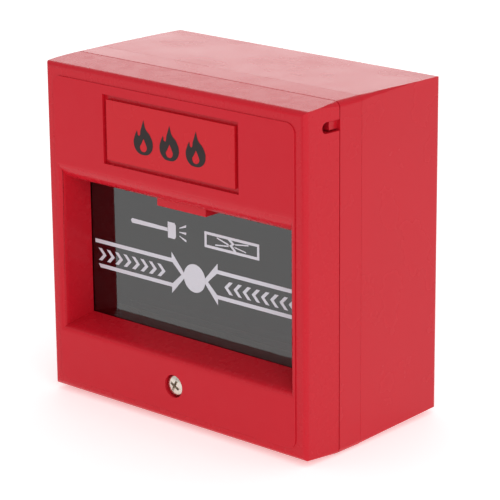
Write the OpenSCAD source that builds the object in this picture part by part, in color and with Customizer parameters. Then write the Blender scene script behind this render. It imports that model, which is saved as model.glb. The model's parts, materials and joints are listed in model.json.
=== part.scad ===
// Break-glass fire alarm box: a square wall box in three shells (front cover, middle frame, back box).
// A pane stands on a sprung carriage and holds up the roller lever of a small switch. When the pane
// breaks, or a key pulls the carriage down for a test, the lever drops and the switch changes over.
// +X is to the right seen from the front, -Y faces the room, +Y faces the wall and +Z is up.
// The origin is the centre of the box's footprint, on the surface that it stands on.

/* [Box] */
// Width of the box
box_w = 86; // [80:1:110]
// Height of the box
box_h = 86; // [82:1:110]
// Depth from the wall to the front face
box_d = 50; // [44:1:70]
// Depth of the front cover
cover_d = 11.7; // [11.5:0.1:14]
// Depth of the middle frame's visible band
frame_d = 7.9; // [7:0.1:12]
// Thickness of the shells' walls
wall = 2.2; // [1.8:0.1:2.6]
// How much each side leans in towards the front face and towards the wall
draft = 0.6; // [0.2:0.1:1]
// Rounding of the outer edges
edge_r = 1.5; // [1:0.1:2]

/* [Window] */
// Width of the smooth border around the front panel
border = 3; // [2:0.2:4]
// Height of the raised, textured front panel
panel_raise = 0.25; // [0.1:0.05:0.4]
// Height of the window's lower edge above the box's underside
win_low = 16; // [14:0.5:19]
// Distance from the window's upper edge to the box's top
win_drop = 25; // [23:0.5:28]
// Depth of the pane's face behind the front face
glass_in = 9.7; // [8:0.1:10]
// Thickness of the pane
pane_t = 2; // [1:0.1:2.2]
// Width of the tab that holds the pane's upper edge
tab_w = 16; // [10:1:24]

/* [Label] */
// Width of the label plate
label_w = 42; // [30:1:60]
// Height of the label plate
label_h = 15; // [12:0.2:16.4]
// Width of the groove around the label plate
groove = 1.2; // [0.5:0.1:1.4]

/* [Fixings] */
// Diameter of the cover screw's head
head_d = 5.2; // [4.4:0.1:6]
// Diameter of the cover screw's thread
thread_d = 3; // [2.5:0.1:3.5]
// Height of the cover screw above the box's underside
screw_z = 10.25; // [9:0.25:10.25]
// Distance between the frame's two screws
frame_pitch = 60.3; // [56:0.1:62]
// Distance between the two wall slots
slot_pitch = 60; // [50:1:64]
// Width of a wall slot
slot_w = 4.4; // [3.6:0.1:5]
// Length of a wall slot
slot_l = 9; // [7:0.5:12]
// Diameter of the cable entries
entry_d = 20.5; // [16:0.5:22]

/* [Mechanism] */
// Diameter of the lever's roller
roller_d = 4.8; // [4:0.1:5]

/* [Hidden] */
$fn = 48;

red = [0.78, 0.10, 0.15];
deep_red = [0.70, 0.08, 0.12];
steel = [0.80, 0.78, 0.74];
brass = [0.82, 0.66, 0.32];
board_green = [0.10, 0.36, 0.20];

seam_gap = 0.3;                       // dark line between the cover and the frame
play = 0.3;                           // clearance around parts that move past each other
thread_play = 0.05;                   // radial clearance of a screw in its insert
y_front = -box_d / 2;
y_wall = box_d / 2;
y_seam = y_front + cover_d;           // back of the front cover's depth
y_back_seam = y_seam + frame_d;       // where the frame meets the back box
cover_back = y_seam - seam_gap / 2;
frame_front = y_seam + seam_gap / 2;
panel_y = y_front + panel_raise;      // face of the smooth border
inner_x = box_w / 2 - draft - wall + 0.2;      // half the cover's hollow
inner_top = box_h - draft - wall + 0.2;
inner_low = wall + 0.2;

// Web of the middle frame, which carries the mechanism in front and the circuit board behind
web_y = y_seam + 4.2;
web_t = 2;
web_back = web_y + web_t;

// Frame's spigot, which fits inside the cover in front and inside the back box behind
spigot_x = inner_x - play;
spigot_low = inner_low + play;
spigot_top = inner_top - play;
spigot_reach = 2;
rim = 1.3;
hollow_x = spigot_x - rim;

// Window and pane
lip = 2;                              // rounding of the window's side and lower edges
brow = 5.5;                           // rounding of its upper edge
panel_r = 2.5;
glass_y = y_front + glass_in;
pane_back = glass_y + pane_t;
win_x = box_w / 2 - draft - border;           // half the window's width at the front
win_x_in = win_x - 2.5;               // and at the pane
win_top = box_h - win_drop;
win_top_in = win_top - brow;
win_low_in = win_low + 3.5;
tub_back = glass_y - play + 0.05;     // back edge of the window's walls
tub_t = 1.8;
pane_x = win_x_in + 1;
pane_low = win_low_in - 1.1;
pane_top = win_top_in + 3;
pane_mid = (glass_y + pane_back) / 2;

// Label plate
label_z = box_h - 14.6;
label_t = 1;

// Rubber pads behind the pane
pad_x = pane_x - 4;
pad_z = [pane_low + 9, pane_top - 9];
pad_y = pane_back + play + 0.6;

// Cover screw: its boss is split between the cover and the frame, which holds a brass insert
boss_r = 3.8;
boss_split = web_y - 6.9;
insert_r = 2.6;
insert_end = boss_split + play + 5.5;
head_seat = y_front + 2.4;

// Lugs of the frame in the cover's side slots
lug_z = box_h - 5.4;
lug_h = 2.7;

// Frame screws, wall and cable entries
frame_thread = 1.75;
frame_insert_r = 2.9;
frame_boss_z = box_h / 2;
floor_y = y_wall - 2.6;
entry_room = floor_y - y_back_seam - spigot_reach;
entry_y = floor_y - entry_room / 2;
entry_rim = min(1.2, entry_room / 2 - entry_d / 2 - play);
cable_r = 5;

// Carriage under the pane
shelf_z = pane_low - 2.1;
shelf_x = pane_x - 8;
stem_x = 16;
stem_y = web_y - 2;
spring_x = 24;
spring_y = web_y - 4.9;
seat_z = 7;

// Switch above the pane
roller_x = 7;
roller_z = pane_top + 0.15 + roller_d / 2;
pivot_x = -8.5;
pivot_z = roller_z + 3.45;
plunger_x = 0;
case_z = pivot_z + 1.5;
case_h = 10.2;
case_w = 19.8;
case_y = pane_mid - 3.2;
case_t = 6.4;
blade_t = 0.6;
plunger_r = 0.9;
lever_pin_r = 0.5;
roller_pin_r = 0.75;
switch_thread = 1.1;
screw_hole_x = 4.75;

// Circuit board behind the web
board_w = 50;
board_low = box_h - 52;
board_top = spigot_top - rim - play;
board_y = web_back + 3.3;
board_t = 1.6;
board_back = board_y + board_t;
board_thread = 1;
hole_x = board_w / 2 - 3.5;
hole_z = [board_low + 3.5, board_top - 3.5];
block_z = board_low + 10;
block_w = 22.9;
block_h = 10;
block_d = 10;
pole = 7.62;
clamp_y = board_back + 4.2;
clamp_z = block_z + 4.4;
lead_z = case_z + case_h + 2.9;

// The same list from its last entry to its first
function turned(list) = [for (i = [len(list) - 1:-1:0]) list[i]];

// Points of a quarter round about [u, v], from its su side to its sv side
function quarter(u, v, su, sv, r, end = 90) = [for (i = [0:8]) let (t = end * i / 8)
    [u + su * r * cos(t), v + sv * r * sin(t)]];

// Square outline with round corners, from [x0, y0] to [x1, y1]
module rounded(x0, y0, x1, y1, r) {
    translate([x0 + r, y0]) square([x1 - x0 - 2 * r, y1 - y0]);
    translate([x0, y0 + r]) square([x1 - x0, y1 - y0 - 2 * r]);
    for (x = [x0 + r, x1 - r], y = [y0 + r, y1 - r]) translate([x, y]) circle(r);
}

// A solid between two depths. Its outline is the child, drawn in X and Z
module deep(y0, y1) translate([0, y1, 0]) rotate([90, 0, 0]) linear_extrude(y1 - y0) children();

// A solid between two widths. Its outline is the child, drawn in Y and Z
module across(x0, x1) translate([x0, 0, 0]) rotate([90, 0, 90]) linear_extrude(x1 - x0) children();

module bar_y(x, z, r, y0, y1) translate([x, y1, z]) rotate([90, 0, 0]) cylinder(r = r, h = y1 - y0);

module bar_z(x, y, r, z0, z1) translate([x, y, z0]) cylinder(r = r, h = z1 - z0);

module block(x, y, z) translate([x[0], y[0], z[0]]) cube([x[1] - x[0], y[1] - y[0], z[1] - z[0]]);

module both_sides() {
    children();
    mirror([1, 0, 0]) children();
}

// A cross recess cut into a screw's head at depth y, from the room side
module cross_recess(x, z, size, y, deep_by) {
    block([x - size, x + size], [y - 1, y + deep_by], [z - size / 5, z + size / 5]);
    block([x - size / 5, x + size / 5], [y - 1, y + deep_by], [z - size, z + size]);
}

// A pan-head screw along Y whose head faces the room. The head ends at head_y
module screw(x, z, thread_r, head_r, head_y, head_h, tip_y) {
    difference() {
        union() {
            bar_y(x, z, head_r, head_y, head_y + head_h);
            bar_y(x, z, thread_r, head_y + head_h / 2, tip_y);
        }
        cross_recess(x, z, head_r * 0.55, head_y, head_h * 0.55);
    }
}

// The outside of a shell: it narrows from y_wide to y_end, where its edges are round
module outside(y_wide, y_end) {
    s = sign(y_end - y_wide);
    w = box_w / 2;
    turn_y = y_end - s * edge_r;
    turn_x = w - draft - edge_r;
    turn_z = box_h - draft - edge_r;
    intersection() {
        deep(min(y_wide, y_end), max(y_wide, y_end)) rounded(-w, 0, w, box_h, edge_r);
        translate([0, 0, -1]) linear_extrude(box_h + 2) polygon(concat([[-w, y_wide]],
            quarter(-turn_x, turn_y, -1, s, edge_r),
            turned(quarter(turn_x, turn_y, 1, s, edge_r)), [[w, y_wide]]));
        across(-w - 1, w + 1) polygon(concat([[y_wide, 0]],
            turned(quarter(turn_y, edge_r, s, -1, edge_r)),
            quarter(turn_y, turn_z, s, 1, edge_r), [[y_wide, box_h]]));
    }
}

// The window's air space: a funnel that narrows from the front panel to the pane
module window_air() {
    edge = quarter(y_front + lip, win_x, -1, -1, lip, 62);
    side = [for (p = edge) [p[1], p[0]]];
    intersection() {
        linear_extrude(box_h) polygon(concat([[-win_x, y_front - 1]],
            [for (p = side) [-p[0], p[1]]], [[-win_x_in, glass_y]],
            [[win_x_in, glass_y]], turned(side), [[win_x, y_front - 1]]));
        across(-win_x - 1, win_x + 1) polygon(concat([[y_front - 1, win_low]],
            quarter(y_front + lip, win_low, -1, 1, lip, 62), [[glass_y, win_low_in]],
            [[glass_y, win_top_in]], turned(quarter(y_front + brow, win_top, -1, -1, brow)),
            [[y_front - 1, win_top]]));
    }
}

// The walls around that space, before it is cut out
module window_walls() {
    y0 = panel_y + 1;
    intersection() {
        linear_extrude(box_h) polygon([[-win_x - tub_t, y0], [-win_x_in - tub_t, tub_back],
            [win_x_in + tub_t, tub_back], [win_x + tub_t, y0]]);
        across(-box_w / 2 + 1, box_w / 2 - 1) polygon(concat([[y0, win_low - tub_t]],
            [[tub_back, win_low_in - tub_t], [tub_back, win_top_in + tub_t]],
            turned(quarter(y_front + brow, win_top, -1, -1, brow - tub_t)), [[y0, win_top + 1]]));
    }
}

module back_box() color(red) difference() {
    union() {
        difference() {
            outside(y_back_seam, y_wall);
            block([-inner_x, inner_x], [y_back_seam - 1, floor_y], [inner_low, inner_top]);
        }
        both_sides() bar_y(frame_pitch / 2, frame_boss_z, 4.4, web_back, floor_y + 1);
    }
    both_sides() bar_y(frame_pitch / 2, frame_boss_z, frame_insert_r, web_back - 1, web_back + 8);
    bar_z(0, entry_y, entry_d / 2, -1, inner_low + 1);
    bar_y(0, box_h / 2, entry_d / 2, floor_y - 1, y_wall + 1);
    for (z = [box_h / 2 - slot_pitch / 2, box_h / 2 + slot_pitch / 2]) {
        reach = (slot_l - slot_w) / 2;
        block([-slot_w / 2, slot_w / 2], [floor_y - 1, y_wall + 1], [z - reach, z + reach]);
        for (end = [-1, 1] * reach) bar_y(0, z + end, slot_w / 2, floor_y - 1, y_wall + 1);
    }
}

module frame_shell() difference() {
    union() {
        deep(frame_front, y_back_seam) rounded(-box_w / 2, 0, box_w / 2, box_h, edge_r);
        block([-spigot_x, spigot_x], [frame_front - spigot_reach, y_back_seam + spigot_reach],
            [spigot_low, spigot_top]);
    }
    block([-hollow_x, hollow_x], [frame_front - 3, web_y], [spigot_low + rim, spigot_top - rim]);
    block([-hollow_x, hollow_x], [web_back, y_back_seam + 3], [spigot_low + rim, spigot_top - rim]);
}

// What stands on the frame's web towards the room
module frame_front_parts() {
    bar_y(0, screw_z, boss_r, boss_split + play, web_y + 1);
    for (x = [-1, 1] * screw_hole_x) bar_y(x, case_z + 2.9, 2.4, case_y + case_t, web_y + 1);
    both_sides() {
        for (z = pad_z) bar_y(pad_x, z, 2.5, pad_y, web_y + 1);
        block([pane_x + play, hollow_x + 0.5], [glass_y + play, web_y + 1],
            [pane_low + 3, pane_top - 3]);
        block([spring_x - 3.2, spring_x + 3.2], [spring_y - 2.6, web_y + 1],
            [spigot_low + rim - 0.5, seat_z]);
        bar_z(spring_x, spring_y, 1.2, seat_z - 1, seat_z + 2);
        block([spigot_x - 2, spigot_x], [y_front + 9, frame_front],
            [lug_z - lug_h, spigot_top]);
        block([spigot_x - 1, box_w / 2 - 1], [y_front + 9, frame_front + 1],
            [lug_z - lug_h / 2 + 0.3, lug_z + lug_h / 2 - 0.3]);
    }
}

module middle_frame() color(red) difference() {
    union() {
        frame_shell();
        frame_front_parts();
        for (x = [-1, 1] * hole_x, z = hole_z) bar_y(x, z, 2.5, web_back - 1, board_y);
    }
    bar_y(0, screw_z, insert_r, boss_split - 1, insert_end);
    bar_y(0, screw_z, thread_d / 2 + play, insert_end - 1, insert_end + 1);
    for (x = [-1, 1] * screw_hole_x) bar_y(x, case_z + 2.9, switch_thread + thread_play,
        case_y, web_y + 0.5);
    both_sides() bar_y(frame_pitch / 2, frame_boss_z, frame_thread + 0.25, web_y - 1, web_back + 1);
    for (x = [-1, 1] * hole_x, z = hole_z) bar_y(x, z, board_thread + thread_play,
        web_y + 0.8, board_y + 1);
    block([-12, 12], [web_y - 1, web_back + 1], [lead_z - 2.4, lead_z + 1.6]);
    block([stem_x - 2.4, stem_x + 2.4], [stem_y - 1.9, stem_y + 1.7], [-1, spigot_low + rim + 1]);
}

module front_cover() color(red) {
    difference() {
        union() {
            difference() {
                outside(cover_back, panel_y);
                block([-inner_x, inner_x], [panel_y + wall, cover_back + 1], [inner_low, inner_top]);
            }
            deep(y_front, panel_y + 0.5)
                rounded(-win_x, draft + border, win_x, box_h - draft - border, panel_r);
            window_walls();
            bar_y(0, screw_z, boss_r, panel_y + 1, boss_split);
        }
        window_air();
        deep(y_front - 1, y_front + label_t) translate([0, label_z])
            square([label_w + 2 * groove, label_h + 2 * groove], center = true);
        bar_y(0, screw_z, head_d / 2 + play, y_front - 1, head_seat);
        bar_y(0, screw_z, thread_d / 2 + 0.25, y_front, boss_split + 1);
        both_sides() across(inner_x - 1, box_w / 2 + 1) {
            translate([y_front + 5.9 + lug_h / 2, lug_z - lug_h / 2]) square([cover_d, lug_h]);
            translate([y_front + 5.9 + lug_h / 2, lug_z]) circle(lug_h / 2);
        }
    }
    block([-tab_w / 2, tab_w / 2], [y_front + 3.8, tub_back - 0.1], [win_top_in - 1.6, win_top_in + 1]);
}

module label_plate() color(red) deep(y_front, y_front + label_t) translate([0, label_z])
    square([label_w, label_h], center = true);

module glass_pane() color([0.75, 0.80, 0.82, 0.45])
    block([-pane_x, pane_x], [glass_y, pane_back], [pane_low, pane_top]);

// Shelf under the pane, a low fence behind it and the stem that the test key pulls
module pane_carriage() color("ivory") difference() {
    union() {
        block([-shelf_x, shelf_x], [glass_y, web_y - 3], [shelf_z, pane_low]);
        block([-shelf_x, shelf_x], [pane_back, pane_back + 1.6], [shelf_z, pane_low + 4]);
        block([stem_x - 2, stem_x + 2], [stem_y - 1.5, stem_y + 1.3], [6.4, pane_low - 0.5]);
    }
    bar_y(stem_x, 8.2, 1, stem_y - 3, stem_y + 3);
}

// A closed spring: rings of six points follow the helix from one end to the other
module coil(r, wire_r, z0, z1, turns) {
    per_turn = 16;
    sides = 6;
    rings = turns * per_turn;
    rise = z1 - z0 - 2 * wire_r;
    points = [for (i = [0:rings], k = [0:sides - 1]) let (a = 360 * i / per_turn,
        out = r + wire_r * cos(360 * k / sides))
        [out * cos(a), out * sin(a), z0 + wire_r + rise * i / rings + wire_r * sin(360 * k / sides)]];
    walls = [for (i = [0:rings - 1], k = [0:sides - 1]) let (n = (k + 1) % sides)
        [i * sides + k, i * sides + n, (i + 1) * sides + n, (i + 1) * sides + k]];
    ends = [[for (k = [sides - 1:-1:0]) k], [for (k = [0:sides - 1]) rings * sides + k]];
    polyhedron(points, concat(walls, ends), convexity = 10);
}

module carriage_springs() color(steel) for (x = [-1, 1] * spring_x)
    translate([x, spring_y, 0]) coil(2, 0.3, seat_z, shelf_z, 7);

module pane_pads() color([0.12, 0.12, 0.12]) both_sides() for (z = pad_z)
    bar_y(pad_x, z, 2.5, pane_back + play, pad_y);

module cover_screw() color(steel)
    screw(0, screw_z, thread_d / 2, head_d / 2, y_front + play, head_seat - y_front - play,
        insert_end - 0.5);

module cover_screw_insert() color(brass) difference() {
    bar_y(0, screw_z, insert_r, boss_split + play, insert_end);
    bar_y(0, screw_z, thread_d / 2 + thread_play, boss_split - 1, insert_end + 1);
}

module frame_screws() color(steel) for (x = [-1, 1] * frame_pitch / 2)
    screw(x, frame_boss_z, frame_thread, 3, web_y - 2, 2, web_back + 7.5);

module frame_screw_inserts() color(brass) both_sides() difference() {
    bar_y(frame_pitch / 2, frame_boss_z, frame_insert_r, web_back, web_back + 8);
    bar_y(frame_pitch / 2, frame_boss_z, frame_thread + thread_play, web_back - 1, web_back + 9);
}

module circuit_board() color(board_green) difference() {
    block([-board_w / 2, board_w / 2], [board_y, board_back], [board_low, board_top]);
    for (x = [-1, 1] * hole_x, z = hole_z)
        bar_y(x, z, board_thread + 0.2, board_y - 1, board_back + 1);
    for (i = [-1:1]) bar_y(i * pole, block_z + 3, 0.6, board_y - 1, board_back + 1);
}

module board_screws() color(steel) for (x = [-1, 1] * hole_x, z = hole_z)
    mirror([0, 1, 0]) screw(x, z, board_thread, 2, -board_back - 1.3, 1.3, -web_y - 1.2);

// Wires enter from below, and each clamp is closed from the back by its own screw
module terminal_block() color([0.15, 0.35, 0.30]) difference() {
    block([-block_w / 2, block_w / 2], [board_back, board_back + block_d],
        [block_z, block_z + block_h]);
    for (i = [-1:1]) {
        block([i * pole - 2.6, i * pole + 2.6], [clamp_y - 2.6, clamp_y + 2.6],
            [block_z + 1.2, block_z + 7]);
        bar_z(i * pole, clamp_y, 1.6, block_z - 1, block_z + 2);
        bar_y(i * pole, clamp_z, 1.9, clamp_y, board_back + block_d + 1);
        bar_y(i * pole, block_z + 3, 0.6, board_back - 1, clamp_y);
    }
}

module terminal_clamps() color(brass) for (i = [-1:1]) difference() {
    block([i * pole - 2.5, i * pole + 2.5], [clamp_y - 2.5, clamp_y + 2.5],
        [block_z + 1.3, block_z + 6.9]);
    bar_z(i * pole, clamp_y, 1.5, block_z, block_z + 8);
    bar_y(i * pole, clamp_z, 1.3, clamp_y, clamp_y + 3);
}

module terminal_screws() color(steel) for (i = [-1:1]) mirror([0, 1, 0])
    screw(i * pole, clamp_z, 1.25, 1.8, -board_back - block_d + 0.8, 1.4, -clamp_y - 0.9);

module terminal_pins() color(brass) for (i = [-1:1])
    bar_y(i * pole, block_z + 3, 0.55, board_y - 1.2, clamp_y - 2.5);

// The wires of the resistor bend down into the board at both ends
module alarm_resistor() {
    z = block_z + 20;
    y = board_back + 1.6;
    color("tan") translate([-3.2, y, z]) rotate([0, 90, 0]) cylinder(r = 1.2, h = 6.4);
    color(steel) {
        translate([-6, y, z]) rotate([0, 90, 0]) cylinder(r = 0.3, h = 12);
        both_sides() {
            bar_y(6, z, 0.3, board_back, y);
            translate([6, y, z]) sphere(0.3);
        }
    }
}

module switch_case() color([0.13, 0.13, 0.14]) difference() {
    union() {
        block([-case_w / 2, case_w / 2], [case_y, case_y + case_t], [case_z, case_z + case_h]);
        for (y = [pane_mid - 3.2, pane_mid + 2.1])
            block([pivot_x - 1.2, pivot_x + 1.2], [y, y + 1.1], [pivot_z - 1.2, case_z + 0.5]);
    }
    for (x = [-1, 1] * screw_hole_x)
        bar_y(x, case_z + 2.9, switch_thread + 0.1, case_y - 1, case_y + case_t + 1);
    bar_y(pivot_x, pivot_z, lever_pin_r, case_y - 1, case_y + case_t + 1);
    bar_z(plunger_x, pane_mid, plunger_r + 0.08, case_z - 1, case_z + 3.6);
}

module switch_plunger() color([0.72, 0.16, 0.14])
    bar_z(plunger_x, pane_mid, plunger_r, pivot_z + blade_t / 2 + 0.05, case_z + 3);

// Sheet-metal blade: a knuckle at the hinge and two ears that hold the roller
module switch_lever() color(steel) difference() {
    union() {
        bar_y(pivot_x, pivot_z, 1, pane_mid - 1.9, pane_mid + 1.9);
        block([pivot_x, roller_x + 1.2], [pane_mid - 2.1, pane_mid + 2.1],
            [pivot_z - blade_t / 2, pivot_z + blade_t / 2]);
        for (y = [pane_mid - 2.1, pane_mid + 1.6])
            block([roller_x - 1.2, roller_x + 1.2], [y, y + 0.5], [roller_z - 1.2, pivot_z]);
    }
    bar_y(pivot_x, pivot_z, lever_pin_r + 0.05, pane_mid - 3, pane_mid + 3);
    bar_y(roller_x, roller_z, roller_pin_r, pane_mid - 3, pane_mid + 3);
}

module lever_roller() color("white") difference() {
    bar_y(roller_x, roller_z, roller_d / 2, pane_mid - 1.1, pane_mid + 1.1);
    bar_y(roller_x, roller_z, roller_pin_r + 0.05, pane_mid - 2, pane_mid + 2);
}

module roller_pin() color(steel)
    bar_y(roller_x, roller_z, roller_pin_r, pane_mid - 2.3, pane_mid + 2.3);

module lever_pin() color(steel) bar_y(pivot_x, pivot_z, lever_pin_r, case_y, case_y + case_t);

module switch_terminals() color(brass) for (i = [-1:1]) difference() {
    block([i * 8 - 1.6, i * 8 + 1.6], [pane_mid - 0.3, pane_mid + 0.3],
        [case_z + case_h, lead_z + 1.6]);
    bar_y(i * 8, lead_z, 0.5, pane_mid - 1, pane_mid + 1);
}

module switch_screws() color(steel) for (x = [-1, 1] * screw_hole_x)
    screw(x, case_z + 2.9, switch_thread, 2, case_y - 1.4, 1.4, web_y);

module switch_leads() color([0.75, 0.1, 0.1]) both_sides()
    bar_y(8, lead_z, 0.7, pane_mid + 0.3, board_y);

module cable_grommet() color([0.10, 0.10, 0.10]) difference() {
    union() {
        bar_y(0, box_h / 2, entry_d / 2 - thread_play, floor_y, y_wall - 0.2);
        bar_y(0, box_h / 2, entry_d / 2 + 1.3, floor_y - 1, floor_y);
    }
    bar_y(0, box_h / 2, cable_r, floor_y - 2, y_wall + 1);
}

module bottom_knockout() color(deep_red) {
    bar_z(0, entry_y, entry_d / 2 - thread_play, 0.3, inner_low);
    bar_z(0, entry_y, entry_d / 2 + entry_rim, inner_low, inner_low + 1);
}

back_box();
middle_frame();
front_cover();
label_plate();
glass_pane();
pane_carriage();
carriage_springs();
pane_pads();
cover_screw();
cover_screw_insert();
frame_screws();
frame_screw_inserts();
circuit_board();
board_screws();
terminal_block();
terminal_clamps();
terminal_screws();
terminal_pins();
alarm_resistor();
switch_case();
switch_plunger();
switch_lever();
lever_roller();
roller_pin();
lever_pin();
switch_terminals();
switch_screws();
switch_leads();
cable_grommet();
bottom_knockout();
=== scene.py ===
# %% [markdown]
# # A break-glass fire alarm box
# This box hangs on a wall. Its red case has three moulded shells: a front cover, a middle frame and a
# back box. A printed pane stands in the cover's window and holds up the lever of a small switch.
# The box's sizes and the places of its parts come from the frame, so every piece is made where it belongs.

# %% Load the frame
import json
import math
import bmesh
import bpy
from mathutils import Matrix, Vector


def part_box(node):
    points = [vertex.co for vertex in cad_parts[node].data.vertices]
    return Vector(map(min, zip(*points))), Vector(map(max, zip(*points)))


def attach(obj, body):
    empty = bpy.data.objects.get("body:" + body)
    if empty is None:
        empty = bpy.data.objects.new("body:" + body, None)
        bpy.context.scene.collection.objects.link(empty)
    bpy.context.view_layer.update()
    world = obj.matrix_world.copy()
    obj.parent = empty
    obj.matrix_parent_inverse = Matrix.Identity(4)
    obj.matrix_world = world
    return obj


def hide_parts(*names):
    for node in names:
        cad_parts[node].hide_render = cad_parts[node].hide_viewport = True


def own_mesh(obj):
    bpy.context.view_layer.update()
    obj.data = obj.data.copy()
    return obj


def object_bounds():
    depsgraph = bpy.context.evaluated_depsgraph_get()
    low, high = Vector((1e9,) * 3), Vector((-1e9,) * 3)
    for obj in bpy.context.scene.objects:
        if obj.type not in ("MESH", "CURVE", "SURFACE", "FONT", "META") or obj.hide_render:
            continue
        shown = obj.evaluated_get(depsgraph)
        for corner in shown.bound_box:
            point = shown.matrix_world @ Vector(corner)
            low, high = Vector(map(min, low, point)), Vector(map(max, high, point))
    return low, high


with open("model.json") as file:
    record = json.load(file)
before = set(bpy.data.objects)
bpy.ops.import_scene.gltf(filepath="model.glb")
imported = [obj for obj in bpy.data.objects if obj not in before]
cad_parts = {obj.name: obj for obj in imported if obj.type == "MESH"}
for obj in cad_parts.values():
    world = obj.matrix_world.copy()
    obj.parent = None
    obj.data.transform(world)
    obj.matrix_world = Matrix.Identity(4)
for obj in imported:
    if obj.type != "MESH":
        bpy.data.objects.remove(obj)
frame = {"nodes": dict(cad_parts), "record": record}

MM = 0.001
case_low, case_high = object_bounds()
print("case", [round((b - a) / MM, 2) for a, b in zip(case_low, case_high)], "mm")

# %% [markdown]
# ## The camera and the studio
# A product is usually shown on a pale sweep under large soft lamps. The camera here is a long lens a
# little above the box and to its right. Its place is worked out from two angles and a distance, and a
# third angle rolls it slightly. That is easier to read and to change than a matrix.

# %% Camera
AZIMUTH, ELEVATION, ROLL = math.radians(42.177), math.radians(16.797), math.radians(-0.501)
target = Vector((2.95, 0, 39.86)) * MM
distance = 612.1 * MM
away = Vector((math.sin(AZIMUTH) * math.cos(ELEVATION), -math.cos(AZIMUTH) * math.cos(ELEVATION),
               math.sin(ELEVATION)))
level_right = (-away).cross(Vector((0, 0, 1))).normalized()
level_up = level_right.cross(-away)
right = math.cos(ROLL) * level_right + math.sin(ROLL) * level_up
up = -math.sin(ROLL) * level_right + math.cos(ROLL) * level_up
camera = bpy.data.objects.new("camera", bpy.data.cameras.new("camera"))
bpy.context.scene.collection.objects.link(camera)
camera.matrix_world = Matrix.Translation(target + away * distance) @ Matrix(
    (right, up, away)).transposed().to_4x4()
camera.data.sensor_width = 36
camera.data.lens = 178.4
camera.data.clip_start, camera.data.clip_end = 0.01, 20
bpy.context.scene.camera = camera
print("camera", [round(c, 3) for c in camera.matrix_world.translation])


# %% [markdown]
# ## The lamps
# Large lamps give soft light, and small ones draw hard shadows. Four square area lamps and a plain white
# world are enough here. The overhead one lights the top, the key one the right side and the fill one the
# front, and the backdrop one shows as a pale reflection in the glossy top.

# %% Lamps
def soft_lamp(name, place, aim, size, watts):
    """A square lamp that points from its place to its aim."""
    lamp = bpy.data.objects.new(name, bpy.data.lights.new(name, "AREA"))
    lamp.data.size, lamp.data.energy = size, watts
    lamp.location = Vector(place)
    lamp.rotation_euler = (Vector(aim) - Vector(place)).to_track_quat("-Z", "Y").to_euler()
    bpy.context.scene.collection.objects.link(lamp)
    return lamp


soft_lamp("overhead", (0.1, 0.1, 1.1), (0, 0, 0), 0.9, 2.2)
soft_lamp("key", (0.95, -0.6, 0.55), (0, 0, 0.04), 0.6, 3.1)
soft_lamp("fill", (-0.8, -0.7, 0.4), (0, 0, 0.04), 0.6, 0.3)
soft_lamp("backdrop", (-0.85, 0.95, 0.42), (0, 0, 0.08), 0.8, 2.6)
world = bpy.data.worlds.new("studio")
world.use_nodes = True
world.node_tree.nodes["Background"].inputs["Color"].default_value = (1, 1, 1, 1)
world.node_tree.nodes["Background"].inputs["Strength"].default_value = 0.52
bpy.context.scene.world = world
bpy.context.scene.view_settings.view_transform = "Standard"


# %% [markdown]
# ## Materials
# Every finish is a small network of nodes. Noise on the piece's own coordinates varies the colour and
# the roughness a little, and a bump gives the moulding grain. A picture of a texture would need a map
# and stretch round corners, so noise in space is the better way here.

# %% Helpers for materials
class Finish:
    """A Principled material with short ways to add noise to it."""

    def __init__(self, name, colour, roughness, metallic=0.0):
        self.material = bpy.data.materials.new(name)
        self.material.use_nodes = True
        self.nodes = self.material.node_tree.nodes
        self.links = self.material.node_tree.links
        self.shader = self.nodes["Principled BSDF"]
        self.shader.inputs["Base Color"].default_value = (*colour, 1)
        self.shader.inputs["Roughness"].default_value = roughness
        self.shader.inputs["Metallic"].default_value = metallic
        self.shader.inputs["Specular IOR Level"].default_value = 0.5 if metallic else 0.2
        self.place = self.nodes.new("ShaderNodeTexCoord").outputs["Object"]
        self.colour = colour

    def noise(self, scale, detail=2.0):
        """A cloudy value over the piece. A larger scale gives smaller clouds."""
        node = self.nodes.new("ShaderNodeTexNoise")
        node.inputs["Scale"].default_value = scale
        node.inputs["Detail"].default_value = detail
        self.links.new(self.place, node.inputs["Vector"])
        return node.outputs["Fac"]

    def ramp(self, value, low, high, start=0.3, end=0.7):
        """Turns a value between start and end into one between low and high."""
        node = self.nodes.new("ShaderNodeMapRange")
        for key, number in zip(("From Min", "From Max", "To Min", "To Max"), (start, end, low, high)):
            node.inputs[key].default_value = number
        self.links.new(value, node.inputs["Value"])
        return node.outputs["Result"]

    def blend(self, value, first, second):
        """Mixes two colours by a value."""
        node = self.nodes.new("ShaderNodeMix")
        node.data_type = "RGBA"
        node.inputs["A"].default_value = (*first, 1)
        node.inputs["B"].default_value = (*second, 1)
        self.links.new(value, node.inputs["Factor"])
        return node.outputs["Result"]

    def maths(self, operation, a, b):
        """One sum on two values, each a socket or a number."""
        node = self.nodes.new("ShaderNodeMath")
        node.operation = operation
        for socket, value in zip(node.inputs, (a, b)):
            if isinstance(value, (int, float)):
                socket.default_value = value
            else:
                self.links.new(value, socket)
        return node.outputs["Value"]

    def mottle(self, scale, amount):
        """Varies the colour by an amount to each side."""
        darker = tuple(c * (1 - amount) for c in self.colour)
        lighter = tuple(min(1, c * (1 + amount)) for c in self.colour)
        self.links.new(self.blend(self.noise(scale), darker, lighter), self.shader.inputs["Base Color"])
        return self

    def uneven(self, scale, low, high):
        """Varies the roughness between two values."""
        self.links.new(self.ramp(self.noise(scale, 3), low, high), self.shader.inputs["Roughness"])
        return self

    def grain(self, height, depth_mm, strength):
        """A bump of a given depth, which tilts the light without moving the surface."""
        node = self.nodes.new("ShaderNodeBump")
        node.inputs["Strength"].default_value = strength
        node.inputs["Distance"].default_value = depth_mm * MM
        self.links.new(height, node.inputs["Height"])
        self.links.new(node.outputs["Normal"], self.shader.inputs["Normal"])
        return self


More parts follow.
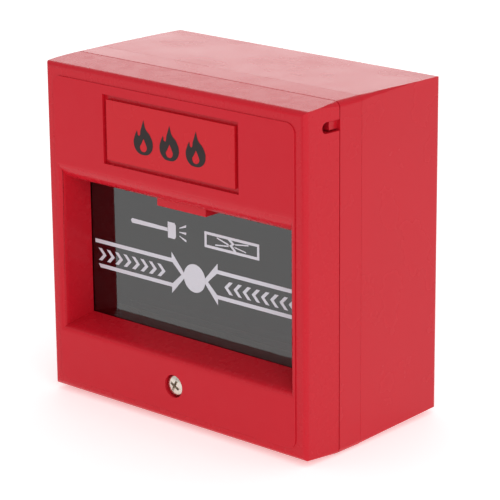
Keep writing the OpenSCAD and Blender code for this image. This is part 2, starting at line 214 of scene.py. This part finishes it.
# %% [markdown]
# ## Red plastic
# The case is moulded in glossy red plastic. One flat red would look drawn, so the colour and the gloss
# vary a little, and a faint bump lets reflections waver. The cover's raised panel has a fine matt grain.
# The panel is the part of the cover that stands furthest forward, so depth alone can switch its grain on.

# %% Red moulded plastic
RED = (0.60, 0.011, 0.024)


def red_plastic(name, colour=RED):
    """Glossy moulded plastic with the faint waviness of a large flat moulding."""
    finish = Finish(name, colour, 0.3)
    finish.mottle(40, 0.03).uneven(90, 0.22, 0.3)
    finish.grain(finish.noise(160, 3), 0.02, 0.12)
    return finish.material


def cover_plastic():
    """The same plastic, but with a spark-eroded grain on the raised front panel only."""
    finish = Finish("cover_red", RED, 0.3)
    finish.mottle(40, 0.03)
    split = finish.nodes.new("ShaderNodeSeparateXYZ")
    finish.links.new(finish.place, split.inputs["Vector"])
    panel = finish.ramp(split.outputs["Y"], 1, 0, case_low.y + 0.05 * MM, case_low.y + 0.15 * MM)
    rough = finish.ramp(panel, 0.27, 0.5, 0, 1)
    rough = finish.maths("ADD", rough, finish.ramp(finish.noise(300, 3), -0.04, 0.04))
    finish.links.new(rough, finish.shader.inputs["Roughness"])
    wave = finish.maths("MULTIPLY", finish.noise(160, 3), 0.08)
    pits = finish.maths("MULTIPLY", finish.noise(2600, 2), panel)
    finish.grain(finish.maths("ADD", wave, pits), 0.05, 0.5)
    return finish.material


materials = {"red": red_plastic("case_red"), "cover": cover_plastic(),
             "label": red_plastic("label_red", (0.62, 0.010, 0.020)),
             "knockout": red_plastic("knockout_red", (0.5, 0.012, 0.022))}
print("red finishes", list(materials))


# %% [markdown]
# ## Finishes for the small parts
# Nylon, brass, plated steel and rubber differ in colour, in gloss and in whether they are metal. Each
# could have a network of its own, but one function with a few numbers keeps them easy to change.

# %% Small parts' finishes
def plain(name, colour, rough, metallic=0.0, scale=400, amount=0.08, bump_mm=0.01):
    """A finish for a small part: mottled colour, uneven gloss and a fine bump."""
    finish = Finish(name, colour, rough[0], metallic)
    finish.mottle(scale, amount).uneven(scale * 2, *rough)
    finish.grain(finish.noise(scale * 4, 3), bump_mm, 0.6)
    return finish.material


materials.update({
    "ivory": plain("ivory_nylon", (0.72, 0.68, 0.56), (0.42, 0.6)),
    "rubber": plain("black_rubber", (0.022, 0.022, 0.023), (0.6, 0.85), bump_mm=0.03),
    "nickel": plain("nickel_plate", (0.72, 0.66, 0.58), (0.16, 0.34), 1.0, 700),
    "steel": plain("spring_steel", (0.50, 0.50, 0.51), (0.22, 0.4), 1.0, 900),
    "brass": plain("turned_brass", (0.72, 0.50, 0.20), (0.2, 0.4), 1.0, 900),
    "board": plain("board_lacquer", (0.012, 0.11, 0.045), (0.2, 0.38), 0.0, 600),
    "terminal": plain("terminal_nylon", (0.015, 0.16, 0.09), (0.35, 0.5)),
    "black": plain("black_nylon", (0.014, 0.014, 0.016), (0.35, 0.5)),
    "plunger": plain("plunger_acetal", (0.32, 0.012, 0.010), (0.25, 0.4)),
    "white": plain("white_nylon", (0.74, 0.74, 0.70), (0.35, 0.5)),
    "tan": plain("resistor_lacquer", (0.40, 0.24, 0.10), (0.3, 0.5)),
    "lead": plain("wire_insulation", (0.40, 0.012, 0.012), (0.3, 0.45)),
    "ink_white": plain("white_ink", (0.70, 0.70, 0.76), (0.4, 0.55), 0.0, 900, 0.03, 0.003),
    "ink_black": plain("black_ink", (0.025, 0.018, 0.018), (0.4, 0.55), 0.0, 900, 0.1, 0.003),
})
print(len(materials), "finishes")


# %% [markdown]
# ## The glass
# The pane is a thin sheet of smoky glass. A Glass shader would bend light in it, which is slow and hardly
# shows in so thin a sheet. A tinted Transparent shader mixed with a mirror looks the same, and Fresnel
# makes the mirror stronger at a flat angle, as glass does.

# %% Glass
def window_glass():
    """Smoky glass: each face lets two fifths of the light through, and mirrors more at a flat angle."""
    finish = Finish("smoky_glass", (1, 1, 1), 0.02)
    clear = finish.nodes.new("ShaderNodeBsdfTransparent")
    finish.links.new(finish.blend(finish.noise(60), (0.36, 0.35, 0.35), (0.42, 0.41, 0.41)),
                     clear.inputs["Color"])
    mirror = finish.nodes.new("ShaderNodeBsdfGlossy")
    mirror.inputs["Roughness"].default_value = 0.03
    edge = finish.nodes.new("ShaderNodeFresnel")
    edge.inputs["IOR"].default_value = 1.95
    join = finish.nodes.new("ShaderNodeMixShader")
    finish.links.new(edge.outputs["Fac"], join.inputs["Fac"])
    finish.links.new(clear.outputs["BSDF"], join.inputs[1])
    finish.links.new(mirror.outputs["BSDF"], join.inputs[2])
    finish.links.new(join.outputs["Shader"], finish.nodes["Material Output"].inputs["Surface"])
    finish.nodes.remove(finish.shader)
    return finish.material


materials["glass"] = window_glass()


# %% [markdown]
# ## The moulded and machined parts
# The frame's parts already have the right shape, but each is a heap of loose triangles that would
# shade flat. A copy of each is merged, its flat faces are joined, and its edges are marked sharp where
# they turn by more than a moulding's rounding does. Weighted normals then keep the flat faces flat.

# %% Helpers for pieces
SHARP = math.radians(28)
behaviour = frame["record"]["behaviour"]
body_of = {node: body for body, nodes in behaviour["bodies"].items() for node in nodes}


def new_piece(name, bm, finish, body):
    """Puts a finished bmesh into the scene as a piece that rides on a body."""
    mesh = bpy.data.meshes.new(name)
    bm.to_mesh(mesh)
    bm.free()
    piece = bpy.data.objects.new(name, mesh)
    mesh.materials.append(materials[finish])
    bpy.context.scene.collection.objects.link(piece)
    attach(piece, body)
    return piece


def mark_edges(bm):
    """Smooth faces, with each edge sharp where it turns by more than SHARP."""
    for face in bm.faces:
        face.smooth = True
    for edge in bm.edges:
        edge.smooth = edge.is_manifold and edge.calc_face_angle(0) < SHARP


def even_normals(piece):
    """Keeps flat faces flat where they run into a rounding."""
    modifier = piece.modifiers.new("even_normals", "WEIGHTED_NORMAL")
    modifier.keep_sharp = True


def soften(piece, width_mm):
    """A small rounding on every sharp edge, which catches the light as a real edge does."""
    modifier = piece.modifiers.new("edge_rounding", "BEVEL")
    modifier.width = width_mm * MM
    modifier.segments = 2
    modifier.limit_method = "ANGLE"
    modifier.angle_limit = math.radians(50)
    modifier.use_clamp_overlap = False


def merged_copy(node):
    """The frame's part with its loose triangles joined, and its flat faces made whole."""
    bm = bmesh.new()
    bm.from_mesh(frame["nodes"][node].data)
    bmesh.ops.remove_doubles(bm, verts=bm.verts, dist=0.001 * MM)
    bmesh.ops.dissolve_limit(bm, angle_limit=math.radians(0.2), verts=bm.verts, edges=bm.edges,
                             use_dissolve_boundaries=False, delimit=set())
    return bm


def smooth_part(node, finish):
    """The frame's part with smooth shading, plus the case's own lean and roundings where it has them."""
    bm = merged_copy(node)
    if node in ("front_cover", "back_box", "bottom_knockout"):
        lean_underside(bm)
    if node == "front_cover":
        round_window(bm)
    mark_edges(bm)
    piece = new_piece(node + "_part", bm, finish, body_of[node])
    even_normals(piece)
    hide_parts(node)
    return piece


# %% [markdown]
# ## The red case
# Each shell is moulded with draft, so it leans in a little on every side and leaves its mould easily.
# The undersides of the cover and the back box lean too. Moving the few points near the underside
# is enough for that. The other sides have their draft in the frame already. A bevel rounds the turn
# from the window's lip into its walls, and a finer one draws the seam between frame and back box.

# %% Shells
cover_low, cover_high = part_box("front_cover")
back_low, back_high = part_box("back_box")
UNDERSIDE_LEAN = 1.2 * MM
UNDERSIDE_BAND = 1.6 * MM
LIP_DEPTH = 1.06 * MM
LIP_ROUNDING = 0.7 * MM
SEAM_ROUNDING_MM = 0.07


def lean_underside(bm):
    """Raises the points close to the underside, the more the nearer they are to the front or back."""
    front_length, back_length = cover_high.y - cover_low.y, back_high.y - back_low.y
    for vertex in bm.verts:
        if vertex.co.z < case_low.z + UNDERSIDE_BAND:
            forward = max(0, cover_high.y - vertex.co.y) / front_length
            backward = max(0, vertex.co.y - back_low.y) / back_length
            vertex.co.z += UNDERSIDE_LEAN * (forward + backward)


def round_window(bm):
    """A softer turn from the window's front lip into its two side walls and its ledge."""
    turn = [edge for edge in bm.edges if edge.calc_length() > 20 * MM and all(
        abs(v.co.y - cover_low.y - LIP_DEPTH) < 0.02 * MM for v in edge.verts)]
    bmesh.ops.bevel(bm, geom=turn, affect="EDGES", offset=LIP_ROUNDING, segments=4, profile=0.5,
                    material=-1)
    print("window turns rounded:", len(turn))


shells = {"front_cover": "cover", "middle_frame": "red", "back_box": "red",
          "bottom_knockout": "knockout"}
for node, finish in shells.items():
    shell = smooth_part(node, finish)
    if node == "middle_frame":
        soften(shell, SEAM_ROUNDING_MM)
print("cover", [round(c / MM, 1) for c in cover_high - cover_low], "mm")

# %% [markdown]
# ## The label plate
# A thin plate sits in a shallow pocket of the cover and carries the print. Its face is set back by a
# hair, because the ink stands up from it and may not stand further forward than the cover.

# %% Label plate
INK_ROOM = 0.05 * MM
plate = smooth_part("label_plate", "label")
plate_low, plate_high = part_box("label_plate")
for vertex in plate.data.vertices:
    if vertex.co.y < plate_low.y + 0.01 * MM:
        vertex.co.y += INK_ROOM
print("plate set back by", INK_ROOM / MM, "mm, so that its ink ends level with the cover")

# %% [markdown]
# ## The parts inside
# These are small stock parts: turned brass inserts, plated screws, a microswitch and a circuit board.
# Their shapes are right in the frame, and each gets its own finish.

# %% Small parts
small_parts = {
    "glass_pane": "glass", "pane_carriage": "ivory", "pane_pads": "rubber",
    "cover_screw_insert": "brass", "frame_screws": "nickel", "frame_screw_inserts": "brass",
    "circuit_board": "board", "board_screws": "nickel", "terminal_block": "terminal",
    "terminal_clamps": "brass", "terminal_screws": "nickel", "terminal_pins": "brass",
    "alarm_resistor": "tan", "switch_case": "black", "switch_plunger": "plunger",
    "switch_lever": "steel", "lever_roller": "white", "roller_pin": "nickel",
    "lever_pin": "nickel", "switch_terminals": "brass", "switch_screws": "nickel",
    "switch_leads": "lead", "cable_grommet": "rubber"}
for node, finish in small_parts.items():
    smooth_part(node, finish)
print(len(small_parts), "small parts")

# %% [markdown]
# ## The carriage springs
# A spring is a wire wound round a bar while the bar moves along. Blender's spin does the same: it
# turns a ring of points about an axis and steps it forward each time. When the pane drops, the
# springs get shorter, but these keep their wound length.

# %% Springs
spring_low, spring_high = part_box("carriage_springs")
WIRE, COIL, TURNS, STEPS = 0.3 * MM, 2 * MM, 7, 28


def wind_spring(bm, x):
    """Winds one closed spring about an upright axis at x."""
    axis_point = Vector((x, (spring_low.y + spring_high.y) / 2, spring_low.z + WIRE))
    ring = bmesh.ops.create_circle(bm, segments=10, radius=WIRE)["verts"]
    bmesh.ops.rotate(bm, verts=ring, cent=(0, 0, 0), matrix=Matrix.Rotation(math.pi / 2, 3, "X"))
    bmesh.ops.translate(bm, verts=ring, vec=axis_point + Vector((COIL, 0, 0)))
    edges = list({edge for vertex in ring for edge in vertex.link_edges})
    bmesh.ops.contextual_create(bm, geom=edges)
    rise = (spring_high.z - spring_low.z - 2 * WIRE) / (TURNS * STEPS)
    end = bmesh.ops.spin(bm, geom=edges, cent=axis_point, axis=(0, 0, 1), dvec=(0, 0, rise),
                         angle=2 * math.pi * TURNS, steps=TURNS * STEPS)["geom_last"]
    bmesh.ops.contextual_create(bm, geom=[e for e in end if isinstance(e, bmesh.types.BMEdge)])


bm = bmesh.new()
for x in (spring_low.x + COIL + WIRE, spring_high.x - COIL - WIRE):
    wind_spring(bm, x)
bmesh.ops.recalc_face_normals(bm, faces=bm.faces)
mark_edges(bm)
springs = new_piece("wound_springs", bm, "steel", body_of["carriage_springs"])
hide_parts("carriage_springs")
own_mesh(springs)

# %% [markdown]
# ## The cover screw
# One nickel-plated screw holds the cover. It could be a plain disc with a cross painted on, but its
# head is the only bright spot on the box, so it's worth real shape. A profile is spun for the domed
# head and the core, and a tapered cross is cut out of the head for the driver.

# %% Screw
screw_low, screw_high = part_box("cover_screw")
screw_x = (screw_low.x + screw_high.x) / 2
screw_z = (screw_low.z + screw_high.z) / 2
CORE_MM, SEAT_MM = 1.26, 2.1
PITCH = 0.5 * MM


def spun(bm, profile, y0):
    """Spins a chain of (radius, depth) points about the screw's axis."""
    verts = [bm.verts.new((screw_x + r * MM, y0 + d * MM, screw_z)) for r, d in profile]
    edges = [bm.edges.new(pair) for pair in zip(verts, verts[1:])]
    bmesh.ops.spin(bm, geom=verts + edges, cent=(screw_x, 0, screw_z), axis=(0, 1, 0),
                   angle=2 * math.pi, steps=48, use_merge=True)
    bmesh.ops.remove_doubles(bm, verts=bm.verts, dist=0.002 * MM)


def cross_cutter(bm, size, width, depth):
    """Two crossed bars that narrow with depth, for the driver's recess."""
    for turn in (0, math.pi / 2):
        bar = bmesh.ops.create_cube(bm, size=1)["verts"]
        bmesh.ops.scale(bm, verts=bar, vec=(size, depth, width))
        for vertex in bar:
            if vertex.co.y > 0:
                vertex.co.x *= 0.45
                vertex.co.z *= 0.7
        bmesh.ops.rotate(bm, verts=bar, cent=(0, 0, 0),
                         matrix=Matrix.Rotation(turn + math.radians(28), 3, "Y"))
        bmesh.ops.translate(bm, verts=bar, vec=(screw_x, screw_low.y + depth * 0.3, screw_z))


def cut_out(piece, cutter_bm):
    """Cuts the cutter from the piece and keeps the result as the piece's own mesh."""
    mesh = bpy.data.meshes.new("cutter")
    cutter_bm.to_mesh(mesh)
    cutter_bm.free()
    cutter = bpy.data.objects.new("cutter", mesh)
    bpy.context.scene.collection.objects.link(cutter)
    modifier = piece.modifiers.new("cut", "BOOLEAN")
    modifier.operation, modifier.solver, modifier.use_self = "DIFFERENCE", "EXACT", True
    modifier.object = cutter
    bpy.context.view_layer.update()
    bm = bmesh.new()
    bm.from_object(piece, bpy.context.evaluated_depsgraph_get())
    piece.modifiers.remove(modifier)
    bpy.data.objects.remove(cutter)
    bmesh.ops.remove_doubles(bm, verts=bm.verts, dist=0.002 * MM)
    mark_edges(bm)
    bm.to_mesh(piece.data)
    bm.free()


length = (screw_high.y - screw_low.y) / MM
head = (screw_high.x - screw_low.x) / 2 / MM
bm = bmesh.new()
spun(bm, [(0, 0), (0.8, 0.03), (1.5, 0.11), (2.1, 0.26), (head - 0.12, 0.42), (head, 0.62),
          (head, SEAT_MM - 0.1), (head - 0.1, SEAT_MM), (1.45, SEAT_MM), (CORE_MM, SEAT_MM + 0.3),
          (CORE_MM, length - 0.5), (0.8, length), (0, length)], screw_low.y)
bmesh.ops.recalc_face_normals(bm, faces=bm.faces)
screw = new_piece("cross_head_screw", bm, "nickel", "cover_screw")
bm = bmesh.new()
cross_cutter(bm, size=3.5 * MM, width=0.72 * MM, depth=1.9 * MM)
cut_out(screw, bm)
soften(screw, 0.05)
even_normals(screw)
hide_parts("cover_screw")
print("screw", round(length, 1), "mm long, head", round(2 * head, 1))

# %% [markdown]
# ## The thread
# A thread is a ridge that climbs the shaft as it goes round. A Screw modifier could make one too. Spin
# turns a small profile and moves it on by one pitch in each turn, and its two ends can then be closed.

# %% Thread
bm = bmesh.new()
start = screw_low.y + (SEAT_MM + 0.5) * MM
turns = int((screw_high.y - 0.8 * MM - start) / PITCH)
ridge = [bm.verts.new((screw_x + r * MM, start + d * MM, screw_z))
         for r, d in ((1.15, -0.02), (1.5, 0.16), (1.5, 0.2), (1.15, 0.38))]
loop = [bm.edges.new(pair) for pair in zip(ridge, ridge[1:] + ridge[:1])]
bmesh.ops.contextual_create(bm, geom=loop)
last = bmesh.ops.spin(bm, geom=loop, cent=(screw_x, 0, screw_z), axis=(0, 1, 0),
                      dvec=(0, PITCH / 36, 0), angle=2 * math.pi * turns, steps=36 * turns)
bmesh.ops.contextual_create(bm, geom=[e for e in last["geom_last"]
                                      if isinstance(e, bmesh.types.BMEdge)])
bmesh.ops.recalc_face_normals(bm, faces=bm.faces)
mark_edges(bm)
new_piece("screw_thread", bm, "nickel", "cover_screw")
print("thread of", turns, "turns")

# %% [markdown]
# ## The print
# White ink on the pane shows where to press: two long arrows meet at a dot, with marks between their
# lines and two signs above them. Black flames stand on the label plate. The marks are generic ones.
# Each is a flat outline pushed out by a few hundredths of a millimetre, as a screen print stands up.

# %% Helpers for ink
pane_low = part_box("glass_pane")[0]
INK = 0.03 * MM


def ink_mark(bm, outline, face_y):
    """Raises one flat outline, given as (x, z) points in millimetres, from a face at depth face_y."""
    verts = [bm.verts.new((x * MM, face_y, z * MM)) for x, z in outline]
    rim = [bm.edges.new(pair) for pair in zip(verts, verts[1:] + verts[:1])]
    face = bmesh.ops.contextual_create(bm, geom=rim)["faces"]
    raised = bmesh.ops.extrude_face_region(bm, geom=face)["geom"]
    bmesh.ops.translate(bm, vec=(0, -INK, 0),
                        verts=[v for v in raised if isinstance(v, bmesh.types.BMVert)])


def ink_dot(bm, x, z, radius, face_y):
    """A round mark: a disc whose edge is raised."""
    disc = bmesh.ops.create_circle(bm, cap_ends=True, segments=56, radius=radius * MM)["verts"]
    bmesh.ops.rotate(bm, verts=disc, cent=(0, 0, 0), matrix=Matrix.Rotation(math.pi / 2, 3, "X"))
    bmesh.ops.translate(bm, verts=disc, vec=(x * MM, face_y, z * MM))
    face = list(disc[0].link_faces)
    raised = bmesh.ops.extrude_face_region(bm, geom=face)["geom"]
    bmesh.ops.translate(bm, vec=(0, -INK, 0),
                        verts=[v for v in raised if isinstance(v, bmesh.types.BMVert)])


def finish_ink(name, bm, finish, body):
    """Turns the faces of a finished print outwards and makes it a piece."""
    bmesh.ops.recalc_face_normals(bm, faces=bm.faces)
    return new_piece(name, bm, finish, body)


# %% [markdown]
# ### Arrows and dot
# Each arrow is one closed outline with its head towards the dot. The second arrow takes the same points
# with x turned round, so the two always match. The dot is a disc that stands on top of their tips.

# %% Arrows and dot
DOT_X, DOT_Z, DOT_R = -1.5, 35.25, 3.6
pane_face = pane_low.y - 0.005 * MM
bm = bmesh.new()
arrow = [(34.35, 3.7), (7.7, 3.7), (7.7, 5.3), (2.9, 0), (7.7, -5.3), (7.7, -3.7), (32.7, -3.7),
         (33.4, -2.7), (7.45, -2.7), (4.45, 0), (7.45, 2.7), (34.35, 2.7)]
for side in (-1, 1):
    ink_mark(bm, [(DOT_X + side * x, DOT_Z + z) for x, z in arrow], pane_face)
finish_ink("printed_arrows", bm, "ink_white", "pane")
bm = bmesh.new()
ink_dot(bm, DOT_X, DOT_Z, DOT_R, pane_face - INK)
finish_ink("printed_dot", bm, "ink_white", "pane")
print("arrows reach", [round(DOT_X + side * 34.35, 1) for side in (-1, 1)])

# %% [markdown]
# ### Marks between the lines
# Chevrons point to the dot from both sides. They are all one shape, so a loop places them at even steps.

# %% Marks between the lines
bm = bmesh.new()
for side in (-1, 1):
    for step in range(8):
        tip = 9.9 + 2.95 * step
        chevron = [(tip, 0), (tip + 1.6, 1.6), (tip + 2.75, 1.6), (tip + 1.15, 0),
                   (tip + 2.75, -1.6), (tip + 1.6, -1.6)]
        ink_mark(bm, [(DOT_X + side * x, DOT_Z - 0.2 + z) for x, z in chevron], pane_face)
finish_ink("printed_chevrons", bm, "ink_white", "pane")

# %% [markdown]
# ### Hammer and cracked pane
# Two small signs say what to do without words. Each is built up from bars and wedges, as a sign cutter
# would lay them out, because a few straight pieces are easier to adjust than one long outline.

# %% Hammer and cracked pane
bm = bmesh.new()
ink_mark(bm, [(-22.6, 45.5), (-10.4, 45.6), (-10.4, 46.5), (-22.6, 46.7), (-23.0, 46.1)], pane_face)
ink_mark(bm, [(-10.3, 44.0), (-8.0, 44.0), (-7.6, 44.6), (-7.6, 47.5), (-8.0, 48.1), (-10.3, 48.1)],
         pane_face)
for turn in (-1, 0, 1):
    ink_mark(bm, [(-6.4, 46.0 + turn * 1.0), (-4.1, 45.8 + turn * 1.9), (-4.1, 46.4 + turn * 1.9),
                  (-6.4, 46.2 + turn * 1.0)], pane_face)
outer = [(2, 44), (19.8, 44), (19.8, 48), (2, 48)]
inner = [(2.7, 44.7), (19.1, 44.7), (19.1, 47.3), (2.7, 47.3)]
for i in range(4):
    k = (i + 1) % 4
    ink_mark(bm, [outer[i], outer[k], inner[k], inner[i]], pane_face)
crack = [(9.6, 47.3), (10.9, 46.4), (10.1, 45.9), (11.6, 44.7)]
ink_mark(bm, crack + [(12.5, 44.7), (11.1, 45.95), (11.9, 46.5), (10.7, 47.3)], pane_face)
for branch in ([(6.0, 46.9), (9.9, 45.8), (9.9, 46.2), (6.1, 47.2)],
               [(12.1, 46.3), (16.4, 46.9), (16.3, 47.2), (12.0, 46.6)],
               [(11.9, 45.6), (15.6, 45.0), (15.5, 45.3), (11.8, 45.9)],
               [(5.6, 45.0), (9.9, 45.5), (9.9, 45.8), (5.5, 45.3)]):
    ink_mark(bm, branch, pane_face)
finish_ink("printed_signs", bm, "ink_white", "pane")

# %% [markdown]
# ## The flames
# A flame is all curves, so it starts as a flat Bezier curve, which is then made a mesh. Its second
# outline is a hole. Drawing it with straight pieces would show corners.

# %% Flames
FLAME = [(0.15, 7.4, 1), (0.75, 5.6, 0), (2.0, 4.4, 0), (2.75, 2.4, 0), (1.9, 0.6, 0), (0, 0, 0),
         (-1.9, 0.55, 0), (-2.75, 2.3, 0), (-2.3, 4.0, 0), (-1.75, 5.0, 1), (-1.25, 3.9, 0),
         (-0.7, 5.2, 0)]
FLAME_SIZE, FLAME_STEP, FLAME_HALF = 1.16, 8.6, 4.3
HEART = [(0.1, 3.5, 1), (0.75, 2.3, 0), (1.0, 1.4, 0), (0, 0.6, 0), (-1.0, 1.4, 0), (-0.5, 2.4, 0)]


def flame_curve(x, z, outlines):
    """A flat curve of closed outlines. A point marked 1 is a tip."""
    curve = bpy.data.curves.new("flame", "CURVE")
    curve.dimensions, curve.fill_mode, curve.resolution_u = "2D", "BOTH", 8
    curve.extrude = INK / 2
    for outline in outlines:
        spline = curve.splines.new("BEZIER")
        spline.bezier_points.add(len(outline) - 1)
        spline.use_cyclic_u = True
        for point, (px, pz, tip) in zip(spline.bezier_points, outline):
            point.co = ((x + px * FLAME_SIZE) * MM, (z + pz * FLAME_SIZE) * MM, 0)
            point.handle_left_type = point.handle_right_type = "VECTOR" if tip else "AUTO"
    return bpy.data.objects.new("flame", curve)


bm = bmesh.new()
plate_mid = (plate_low.z + plate_high.z) / 2 / MM
for x in (-FLAME_STEP, 0, FLAME_STEP):
    flat = flame_curve(x, plate_mid - FLAME_HALF, [FLAME, HEART])
    bpy.context.scene.collection.objects.link(flat)
    bpy.context.view_layer.update()
    bm.from_mesh(flat.to_mesh())
    bpy.data.objects.remove(flat)
bmesh.ops.rotate(bm, verts=bm.verts, cent=(0, 0, 0), matrix=Matrix.Rotation(math.pi / 2, 3, "X"))
bmesh.ops.translate(bm, verts=bm.verts, vec=(0, plate_low.y + INK / 2, 0))
bmesh.ops.remove_doubles(bm, verts=bm.verts, dist=0.001 * MM)
finish_ink("printed_flames", bm, "ink_black", "cover")
print("flames between", round(plate_mid - FLAME_HALF, 1), "and", round(plate_mid + FLAME_HALF, 1), "mm")

# %% [markdown]
# ## The floor
# The floor is a plain pale sheet. It's wide enough to fill the view and to show in the pane. It glows a
# little, as a lit sheet of white paper seems to, which keeps the shadow under the box faint.

# %% Floor
FLOOR_GLOW = 0.42
bm = bmesh.new()
bmesh.ops.create_grid(bm, x_segments=1, y_segments=1, size=6)
sheet = bpy.data.meshes.new("floor")
bm.to_mesh(sheet)
bm.free()
floor = bpy.data.objects.new("floor", sheet)
floor.location.z = case_low.z - 0.2 * MM
floor_finish = Finish("pale_floor", (0.93, 0.93, 0.93), 0.9)
floor_finish.mottle(2, 0.01)
floor_finish.shader.inputs["Emission Color"].default_value = (1, 1, 1, 1)
floor_finish.shader.inputs["Emission Strength"].default_value = FLOOR_GLOW
sheet.materials.append(floor_finish.material)
bpy.context.scene.collection.objects.link(floor)
